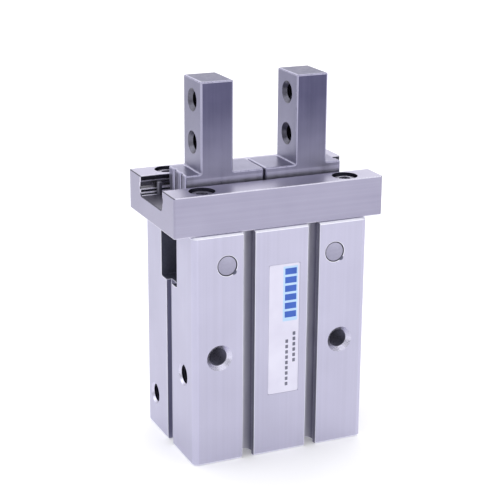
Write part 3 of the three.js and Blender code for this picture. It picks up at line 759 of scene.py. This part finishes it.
def screw_pocket(label):
    """The counterbore and the clearance hole for one guide screw."""
    low, high = box_mm(f"guide_screw_{label}")
    centre = (low + high) / 2
    at = (centre.x, centre.y, 0)
    top = GUIDE_HIGH.z
    return [
        rod("z", at, SCREW_SEAT, top + OVER, SCREW_POCKET["radius"], BORE_SHADE),
        rod("z", at, GUIDE_LOW.z - OVER, top, SCREW_POCKET["hole"], BORE_SHADE),
    ]


def stop_hole(label):
    low, high = box_mm(f"ball_stop_{label}")
    centre = (low + high) / 2
    radius = radius_mm(low, high) + 0.03
    return rod("z", (centre.x, centre.y, 0), low.z, GUIDE_HIGH.z, radius, DARK_STEEL, 32)


def build_guide():
    low, high = GUIDE_LOW, GUIDE_HIGH
    outline = rounded_outline((low.x, low.y), (high.x, high.y), GUIDE_CORNER, 6)
    guide = prism(outline, "z", low.z, high.z, GUIDE_STEEL)
    ends = (low.x - OVER, high.x + OVER)
    cut(guide, [prism(channel_section(), "x", *ends, CHANNEL_SHADE)])
    cut_races(guide, *ends)
    reach, half = LEVER_SLOT["reach"], LEVER_SLOT["half"]
    for _, label in SIDES:
        x = lever_pivot(label).x
        slot = cuboid((x - reach, -half, low.z - OVER), (x + reach, half, high.z), CHANNEL_SHADE)
        cut(guide, [slot])
    soften(guide, 0.2, GUIDE_EDGE_HIGHLIGHT)
    # Painted light on the channel's upward faces, painted shade on the rounded edges between the
    # top and the ends.
    facing, leaning = 0.9, 0.2
    repaint_shading(guide, CHANNEL_SHADE, CHANNEL_BED_LIT, lambda normal: normal.z > facing)
    repaint_shading(guide, GUIDE_EDGE_HIGHLIGHT, END_EDGE_SHADE,
             lambda normal: abs(normal.x) > leaning and normal.z > leaning)
    for _, _, label in CORNERS:
        cut(guide, screw_pocket(label))
    for _, _, label in CORNERS:
        cut(guide, [stop_hole(label)])
    finish_piece(guide, "ground_guide_rail", "guide_rail")


# Guide screws, stops and balls

def build_screws():
    shank, bevel = SCREW_SHANK["radius"], SCREW_SHANK["bevel"]
    head_bevel, socket = 0.3, 1.44
    for _, _, label in CORNERS:
        node = f"guide_screw_{label}"
        low, high = box_mm(node)
        centre = (low + high) / 2
        head, tip, top = radius_mm(low, high), low.z - SCREW_SEAT, high.z - SCREW_SEAT
        screw = turned([
            (0, tip), (shank - bevel, tip), (shank, tip + bevel), (shank, 0), (head, 0),
            (head, top - head_bevel), (head - head_bevel, top), (0, top),
        ], "z", ORIGIN, SCREW_STEEL)
        cut(screw, [rod("z", ORIGIN, top / 2, top + OVER, socket, SCREW_STEEL, 6)])
        soften(screw, 0.08, DARK_STEEL, 2)
        knurl_head(screw, head, top)
        screw.location = (centre.x, centre.y, SCREW_SEAT)
        finish_piece(screw, f"socket_screw_{label}", node)


def knurl_head(screw, head, top):
    """Fine vertical grooves round a screw's head."""
    count, offset, radius = 36, 0.06, 0.14
    low, high = 0.4, top - 0.5
    for i in range(count):
        angle = 2 * math.pi * i / count
        at = ((head + offset) * math.cos(angle), (head + offset) * math.sin(angle), 0)
        cut(screw, [rod("z", at, low, high, radius, SCREW_STEEL, 6)])


def build_stops():
    bevel = 0.2
    for _, _, label in CORNERS:
        node = f"ball_stop_{label}"
        low, high = box_mm(node)
        centre = (low + high) / 2
        radius = radius_mm(low, high)
        pin = turned([
            (0, low.z), (radius, low.z), (radius, high.z - bevel), (radius - bevel, high.z),
            (0, high.z),
        ], "z", ORIGIN, DARK_STEEL, 40)
        pin.location = (centre.x, centre.y, 0)
        finish_piece(pin, f"stop_pin_{label}", node)


def build_balls():
    for node in sorted(NODE_BODY):
        if not node.startswith("guide_ball_"):
            continue
        low, high = box_mm(node)
        bm = bmesh.new()
        bmesh.ops.create_icosphere(bm, subdivisions=4, radius=(high.z - low.z) / 2)
        ball = make_object("ball", bm, BRIGHT_STEEL)
        ball.location = (low + high) / 2
        finish_piece(ball, node.replace("guide_ball", "bearing_ball"), node)


# Fingers

def build_finger(side, label):
    node = f"finger_{label}"
    low, high = box_mm(node)
    inner, outer = sorted((abs(low.x), abs(high.x)))
    slider_top = GUIDE_HIGH.z + SLIDER["rise"]

    def block(x0, x1, z0, z1):
        x_low, x_high = sorted((side * x0, side * x1))
        return cuboid((x_low, low.y, z0), (x_high, high.y, z1), FINGER_STEEL_SHADING)

    finger = block(inner, outer, low.z, slider_top)
    join(finger, [block(POST["inner"], POST["outer"], low.z + POST["sunk"], high.z)])
    cut_races(finger, low.x - OVER, high.x + OVER)
    cut(finger, [finger_lever_slot(side, label, low.z)])
    end, half = side * outer, END_GROOVE["half"]
    near, far = sorted((end - side * END_GROOVE["depth"], end + side * OVER))
    for y in (-END_GROOVE["y"], END_GROOVE["y"]):
        groove_low, groove_high = (near, y - half, low.z - OVER), (far, y + half, slider_top + OVER)
        cut(finger, [cuboid(groove_low, groove_high, CHANNEL_SHADE)])
    soften(finger, 0.36, FINGER_EDGE_HIGHLIGHT)
    # Painted light: faces towards the sides get the lighter copy.
    facing = 0.9
    repaint_shading(finger, FINGER_STEEL_SHADING, FINGER_SIDE_LIT, lambda normal: abs(normal.x) > facing)
    cut_finger_holes(finger, side)
    finish_piece(finger, f"ground_finger_{label}", node)


def finger_lever_slot(side, label, bottom):
    """The slot under the slider that the lever's tip works in."""
    x = side * (abs(lever_pivot(label).x) - finger_stroke() / 2)
    reach, half = LEVER["tip"] + SLIDER["slot_clearance"], LEVER_SLOT["half"]
    high = (x + reach, half, bottom + SLIDER["slot_depth"])
    return cuboid((x - reach, -half, bottom - OVER), high, CHANNEL_SHADE)


def cut_finger_holes(finger, side):
    ends = sorted((side * (POST["inner"] - OVER), side * (POST["outer"] + OVER)))
    for z in (FINGER_HOLE["low"], FINGER_HOLE["high"]):
        at = (0, 0, z)
        for place, inward in ((side * POST["inner"], side), (side * POST["outer"], -side)):
            cut(finger, [countersink("x", at, place, inward, FINGER_HOLE, DARK_STEEL)])
        cut(finger, [threaded("x", at, *ends, FINGER_HOLE, THREAD_SHADE)])


# Levers, shafts and bearings

def build_lever(side, label):
    """A bell crank with a tapered arm up to its tip and another one inward to its nose."""
    node = f"lever_{label}"
    low, high = box_mm(node)
    pivot = lever_pivot(label)
    upper, inner, tip = LEVER["upper"], LEVER["inner"], LEVER["tip"]
    root, neck = 3, tip * 0.8
    nose_root, nose_neck = 2.4, 1.15
    upper_arm = [(-root, 0), (root, 0), (neck, upper), (-neck, upper)]
    inner_arm = [(0, -nose_root), (0, nose_root), (-inner, nose_neck), (-inner, -nose_neck)]

    def arm(outline):
        mirrored = [(side * u, v) for u, v in outline]
        return prism(mirrored, "y", low.y, high.y, DARK_STEEL)

    lever = rod("y", ORIGIN, low.y, high.y, LEVER["hub"], DARK_STEEL)
    join(lever, [
        arm(upper_arm),
        arm(inner_arm),
        rod("y", (0, 0, upper), low.y, high.y, tip, DARK_STEEL),
        rod("y", (-side * inner, 0, 0), low.y, high.y, LEVER["nose"], DARK_STEEL),
    ])
    cut(lever, [rod("y", ORIGIN, low.y - OVER, high.y + OVER, LEVER["bore"], DARK_STEEL)])
    soften(lever, 0.15, BRIGHT_STEEL, 2)
    lever.data.transform(Matrix.Rotation(-side * lever_swing(), 4, "Y"))
    lever.location = (pivot.x, 0, pivot.z)
    finish_piece(lever, f"bell_crank_{label}", node)


def build_shaft(label):
    node = f"lever_shaft_{label}"
    low, high = box_mm(node)
    centre = lever_pivot(label)
    radius = radius_mm(low, high)
    bevel = 0.25
    knee = bevel * 0.3
    shaft = turned([
        (0, low.y), (radius - bevel, low.y), (radius - knee, low.y + knee), (radius, low.y + bevel),
        (radius, high.y - bevel), (radius - knee, high.y - knee), (radius - bevel, high.y),
        (0, high.y),
    ], "y", ORIGIN, PIN_FACE, FINE_ROUND)
    shaft.location = (centre.x, 0, centre.z)
    finish_piece(shaft, f"pivot_pin_{label}", node)


def build_bearing(label):
    node = f"lever_bearing_{label}"
    low, high = box_mm(node)
    pivot = lever_pivot(label)
    radius, inner = radius_mm(low, high), 2.24
    section = [(inner, low.y), (radius, low.y), (radius, high.y), (inner, high.y), (inner, low.y)]
    bush = turned(section, "y", ORIGIN, BRONZE)
    soften(bush, 0.1, None, 2)
    bush.location = (pivot.x, 0, pivot.z)
    finish_piece(bush, f"bronze_bush_{label}", node)


# Label

def build_label():
    """A plain film with a pale band, blue blocks and rows of grey dashes instead of any print."""
    node = "rating_label"
    low, high = box_mm(node)
    front = low.y
    outline = rounded_outline((low.x, low.z), (high.x, high.z), 0.4, 6)
    film = prism(outline, "y", front, high.y, LABEL_FILM)
    finish_piece(film, "label_film", node)
    width, height = high.x - low.x, high.z - low.z

    def mark(name, left, right, top, bottom, material, thickness=0.014):
        """A printed bar, placed by its shares of the label's width and height."""
        corner_low = (low.x + left * width, high.z - bottom * height)
        corner_high = (low.x + right * width, high.z - top * height)
        section = rounded_outline(corner_low, corner_high, 0.08, 3)
        bar = prism(section, "y", front - thickness, front, material)
        finish_piece(bar, name, node, replaced=False)

    # Each row of marks: name, count, left and right, first top, step, height and ink.
    rows = (
        ("label_block", 6, 0.52, 0.9, 0.035, 0.066, 0.048, INK_BLUE),
        ("label_line_upper", 6, 0.8, 0.89, 0.53, 0.042, 0.027, INK_GREY),
        ("label_line_lower", 9, 0.56, 0.65, 0.585, 0.042, 0.027, INK_GREY),
    )
    mark("label_band", 0.46, 0.94, 0.02, 0.44, INK_PALE, 0.007)
    for name, count, left, right, start, step, tall, ink in rows:
        for i in range(count):
            top = start + i * step
            mark(f"{name}_{i + 1}", left, right, top, top + tall, ink)


# Cylinder pieces, round about the vertical axis

def rounded_ring(inner, outer, low, high, bevel):
    return [(inner, low + bevel), (inner + bevel, low), (outer - bevel, low), (outer, low + bevel),
            (outer, high - bevel), (outer - bevel, high), (inner + bevel, high),
            (inner, high - bevel), (inner, low + bevel)]


def build_ring_piece(node, name, inner, material, bevel):
    low, high = box_mm(node)
    section = rounded_ring(inner, radius_mm(low, high), low.z, high.z, bevel)
    finish_piece(turned(section, "z", ORIGIN, material, FINE_ROUND), name, node)


def build_end_cap():
    node = "end_cap"
    low, high = box_mm(node)
    flange, flange_top, radius = radius_mm(low, high), 3.5, 9.95
    groove_low, groove_high, groove = 4.6, 6.1, 8.8
    cap = turned([
        (0, low.z), (flange, low.z), (flange, flange_top), (radius, flange_top),
        (radius, groove_low), (groove, groove_low), (groove, groove_high), (radius, groove_high),
        (radius, high.z), (0, high.z),
    ], "z", ORIGIN, TURNED, FINE_ROUND)
    inner, outer = BUMPER_SEAT["inner"], BUMPER_SEAT["outer"]
    bottom, top = high.z - BUMPER_SEAT["depth"], high.z + OVER
    seat = [(inner, bottom), (outer, bottom), (outer, top), (inner, top), (inner, bottom)]
    cut(cap, [turned(seat, "z", ORIGIN, TURNED)])
    spanner_x, spanner_radius, spanner_depth = 5.5, 0.9, 1.6
    start, end = low.z - OVER, low.z + spanner_depth
    cut(cap, [rod("z", (side * spanner_x, 0, 0), start, end, spanner_radius, DRILLED_SHADE, 40)
              for side, _ in SIDES])
    soften(cap, 0.12, None, 2)
    finish_piece(cap, "cylinder_end_cap", node)


def build_retaining_ring():
    """An open ring with an eared hole on each side of its gap."""
    node = "retaining_ring"
    low, high = box_mm(node)
    outer, inner = RING_GROOVE["radius"] - 0.1, 9.2
    gap, ear_turn = math.degrees(0.24), 5.7
    ear_circle, ear, hole = 8.7, 1.3, 0.6
    start, end = -90 + gap, 270 - gap
    outline = arc((0, 0), outer, start, end, 96) + arc((0, 0), inner, end, start, 96)
    ring = prism(outline, "z", low.z, high.z, SCREW_STEEL)
    ears = [arc((0, 0), ear_circle, angle, angle, 1)[0]
            for angle in (start + ear_turn, end - ear_turn)]
    join(ring, [rod("z", (u, v, 0), low.z, high.z, ear, SCREW_STEEL, 40) for u, v in ears])
    bottom, top = low.z - OVER, high.z + OVER
    cut(ring, [rod("z", (u, v, 0), bottom, top, hole, SCREW_STEEL, 32) for u, v in ears])
    soften(ring, 0.08, DARK_STEEL, 2)
    finish_piece(ring, "snap_ring", node)


def build_rod_cover():
    node = "rod_cover"
    low, high = box_mm(node)
    radius, bore = radius_mm(low, high), 4.05
    groove, groove_low, groove_high = 8.8, 26.2, 27.8
    seal, seal_low, seal_high = 6.0, 23.0, 25.2
    inner, outer, seat = BUMPER_SEAT["inner"], BUMPER_SEAT["outer"], low.z + BUMPER_SEAT["depth"]
    cover = turned([
        (bore, low.z), (inner, low.z), (inner, seat), (outer, seat), (outer, low.z),
        (radius, low.z), (radius, groove_low), (groove, groove_low), (groove, groove_high),
        (radius, groove_high), (radius, high.z), (bore, high.z), (bore, seal_high),
        (seal, seal_high), (seal, seal_low), (bore, seal_low), (bore, low.z),
    ], "z", ORIGIN, TURNED, FINE_ROUND)
    soften(cover, 0.1, None, 2)
    finish_piece(cover, "rod_side_cover", node)


def build_piston():
    node = "piston"
    low, high = box_mm(node)
    radius, rod_radius, top, bevel = radius_mm(low, high), 4.0, 15.6, 0.5
    seal_low, seal_high, seal = 9.6, 11.4, 8.0
    magnet_low, magnet_high, magnet = 12.2, 14.6, 7.6
    hole, hole_bottom = BOLT["hole"], 32.5
    piston = turned([
        (0, low.z), (radius - bevel, low.z), (radius, low.z + bevel), (radius, seal_low),
        (seal, seal_low), (seal, seal_high), (radius, seal_high), (radius, magnet_low),
        (magnet, magnet_low), (magnet, magnet_high), (radius, magnet_high), (radius, top - bevel),
        (radius - bevel, top), (rod_radius, top), (rod_radius, high.z), (hole, high.z),
        (hole, hole_bottom), (0, hole_bottom),
    ], "z", ORIGIN, TURNED, FINE_ROUND)
    soften(piston, 0.08, BRIGHT_STEEL, 2)
    finish_piece(piston, "piston_and_rod", node)


def build_joint_block():
    """The block on the rod's end, with a flared slot on each side for a lever's nose."""
    node = "joint_block"
    low, high = box_mm(node)
    half = high.x
    nose_z = lever_pivot("right").z - LEVER["inner"] * math.sin(lever_swing())
    joint = cuboid(tuple(low), tuple(high), DARK_STEEL)
    narrow, wide, bottom, flare, reach = 1.85, 2.6, 2.15, 1, 3.2
    section = [(bottom, -narrow), (half - flare, -narrow), (half, -wide), (half + OVER, -wide),
               (half + OVER, wide), (half, wide), (half - flare, narrow), (bottom, narrow)]
    for side, _ in SIDES:
        outline = [(side * u, nose_z + v) for u, v in section]
        cut(joint, [prism(outline, "y", -reach, reach, DARK_STEEL)])
    bolt_low, bolt_high = box_mm("joint_bolt")
    recess, recess_radius = bolt_high.z - BOLT["head"], radius_mm(bolt_low, bolt_high) + 0.1
    cut(joint, [
        rod("z", ORIGIN, low.z - OVER, high.z + OVER, BOLT["hole"], DARK_STEEL, 48),
        rod("z", ORIGIN, recess, high.z + OVER, recess_radius, DARK_STEEL),
    ])
    soften(joint, 0.25, BRIGHT_STEEL, 2)
    finish_piece(joint, "slotted_joint_block", node)


def build_joint_bolt():
    node = "joint_bolt"
    low, high = box_mm(node)
    head, seat = radius_mm(low, high), high.z - BOLT["head"]
    shank, bevel = SCREW_SHANK["radius"], SCREW_SHANK["bevel"]
    bolt = turned([
        (0, low.z), (shank - bevel, low.z), (shank, low.z + bevel), (shank, seat), (head, seat),
        (head, high.z), (0, high.z),
    ], "z", ORIGIN, SCREW_STEEL)
    bottom = high.z - BOLT["socket_depth"]
    cut(bolt, [rod("z", ORIGIN, bottom, high.z + OVER, BOLT["socket"], SCREW_STEEL, 6)])
    soften(bolt, 0.1, DARK_STEEL, 2)
    finish_piece(bolt, "low_head_bolt", node)


def build_cylinder():
    build_end_cap()
    build_retaining_ring()
    build_rod_cover()
    build_ring_piece("end_cap_seal", "cap_ring_seal", 8.85, RUBBER, 0.35)
    build_ring_piece("rod_cover_seal", "cover_ring_seal", 8.85, RUBBER, 0.35)
    build_ring_piece("rod_seal", "rod_lip_seal", 4.06, RUBBER, 0.25)
    build_ring_piece("bumper_lower", "lower_stop_ring", 5.25, RUBBER, 0.2)
    build_ring_piece("bumper_upper", "upper_stop_ring", 5.25, RUBBER, 0.2)
    build_piston()
    build_ring_piece("piston_seal", "piston_ring_seal", 8.05, RUBBER, 0.3)
    build_ring_piece("piston_magnet", "ring_magnet", 7.65, MAGNET, 0.25)
    build_joint_block()
    build_joint_bolt()


# Studio. Its places and sizes are in metres.

def build_floor():
    glow = {"Emission_Color": (1.0, 1.0, 1.0, 1.0), "Emission_Strength": 0.1}
    recipe = Recipe("pale_floor", **glow)
    tooth, clouds = recipe.noise(even(900), detail=2.0), recipe.clouds(3, 1.0)
    recipe.colour(recipe.blend(recipe.span(clouds, 0.0, 1.0), (250, 250, 252), (253, 253, 255)))
    recipe.roughness(recipe.span(tooth, 0.7, 0.85))
    bm = bmesh.new()
    reach = 4.0
    corners = ((-reach, -reach), (reach, -reach), (reach, reach), (-reach, reach))
    bm.faces.new([bm.verts.new((u, v, 0)) for u, v in corners])
    make_object("studio_floor", bm, recipe.material)


def add_light(name, kind, energy, angles):
    light = bpy.data.lights.new(name, kind)
    light.energy = energy
    obj = bpy.data.objects.new(name, light)
    obj.rotation_euler = angles
    bpy.context.scene.collection.objects.link(obj)
    return obj


def shining_along(direction):
    """The rotation that turns a light, which shines down its own -Z, to a direction."""
    return Vector(direction).to_track_quat("-Z", "Y").to_euler()


def add_softbox(name, place, size, power, colour):
    """A rectangular light aimed at the middle of the object."""
    middle = Vector((0, 0, 0.045))
    obj = add_light(name, "AREA", power, shining_along(middle - Vector(place)))
    obj.location = place
    obj.data.shape = "RECTANGLE"
    obj.data.size, obj.data.size_y = size
    obj.data.color = colour


def build_lights():
    add_softbox("back_softbox", (0.55, 1.1, 0.42), (1.6, 0.8), 4.2, (1.0, 0.99, 1.0))
    add_softbox("left_softbox", (-1.0, 0.35, 0.62), (0.8, 0.6), 0.9, (0.85, 0.9, 1.0))
    add_softbox("front_softbox", (0.45, -1.0, 0.22), (1.0, 0.4), 1.5, (1.0, 1.0, 1.0))
    overhead = add_light("overhead_light", "SUN", 1.15, shining_along((0.2, -0.25, -1)))
    overhead.data.angle = math.radians(100)
    world = bpy.data.worlds.new("studio_world")
    world.use_nodes = True
    background = world.node_tree.nodes["Background"]
    background.inputs["Color"].default_value = (1.0, 1.0, 1.0, 1.0)
    background.inputs["Strength"].default_value = 0.74
    bpy.context.scene.world = world
    bpy.context.scene.view_settings.view_transform = "Standard"


def build_camera():
    """A long lens a third of a metre off, to the left of the front and looking slightly down."""
    place, lens = (-0.1276, -0.2790, 0.1418), 101.5
    yaw, pitch, roll = math.radians(24.38), math.radians(17.67), math.radians(0.46)
    level = math.cos(pitch)
    forward = Vector((math.sin(yaw) * level, math.cos(yaw) * level, -math.sin(pitch)))
    right = Vector((math.cos(yaw), -math.sin(yaw), 0))
    up = right.cross(forward)
    tilted_right = right * math.cos(roll) + up * math.sin(roll)
    tilted_up = up * math.cos(roll) - right * math.sin(roll)
    camera = bpy.data.objects.new("camera", bpy.data.cameras.new("camera"))
    camera.data.sensor_width = 36.0
    camera.data.lens = lens
    camera.data.clip_start = 0.01
    turn = Matrix((tilted_right, tilted_up, -forward)).transposed().to_4x4()
    camera.matrix_world = Matrix.Translation(place) @ turn
    bpy.context.scene.collection.objects.link(camera)
    bpy.context.scene.camera = camera


build_camera()
build_lights()
build_floor()
build_body()
build_guide()
build_screws()
build_stops()
build_balls()
build_label()
build_cylinder()
for side, label in SIDES:
    build_finger(side, label)
    build_lever(side, label)
    build_shaft(label)
    build_bearing(label)

bpy.context.view_layer.update()
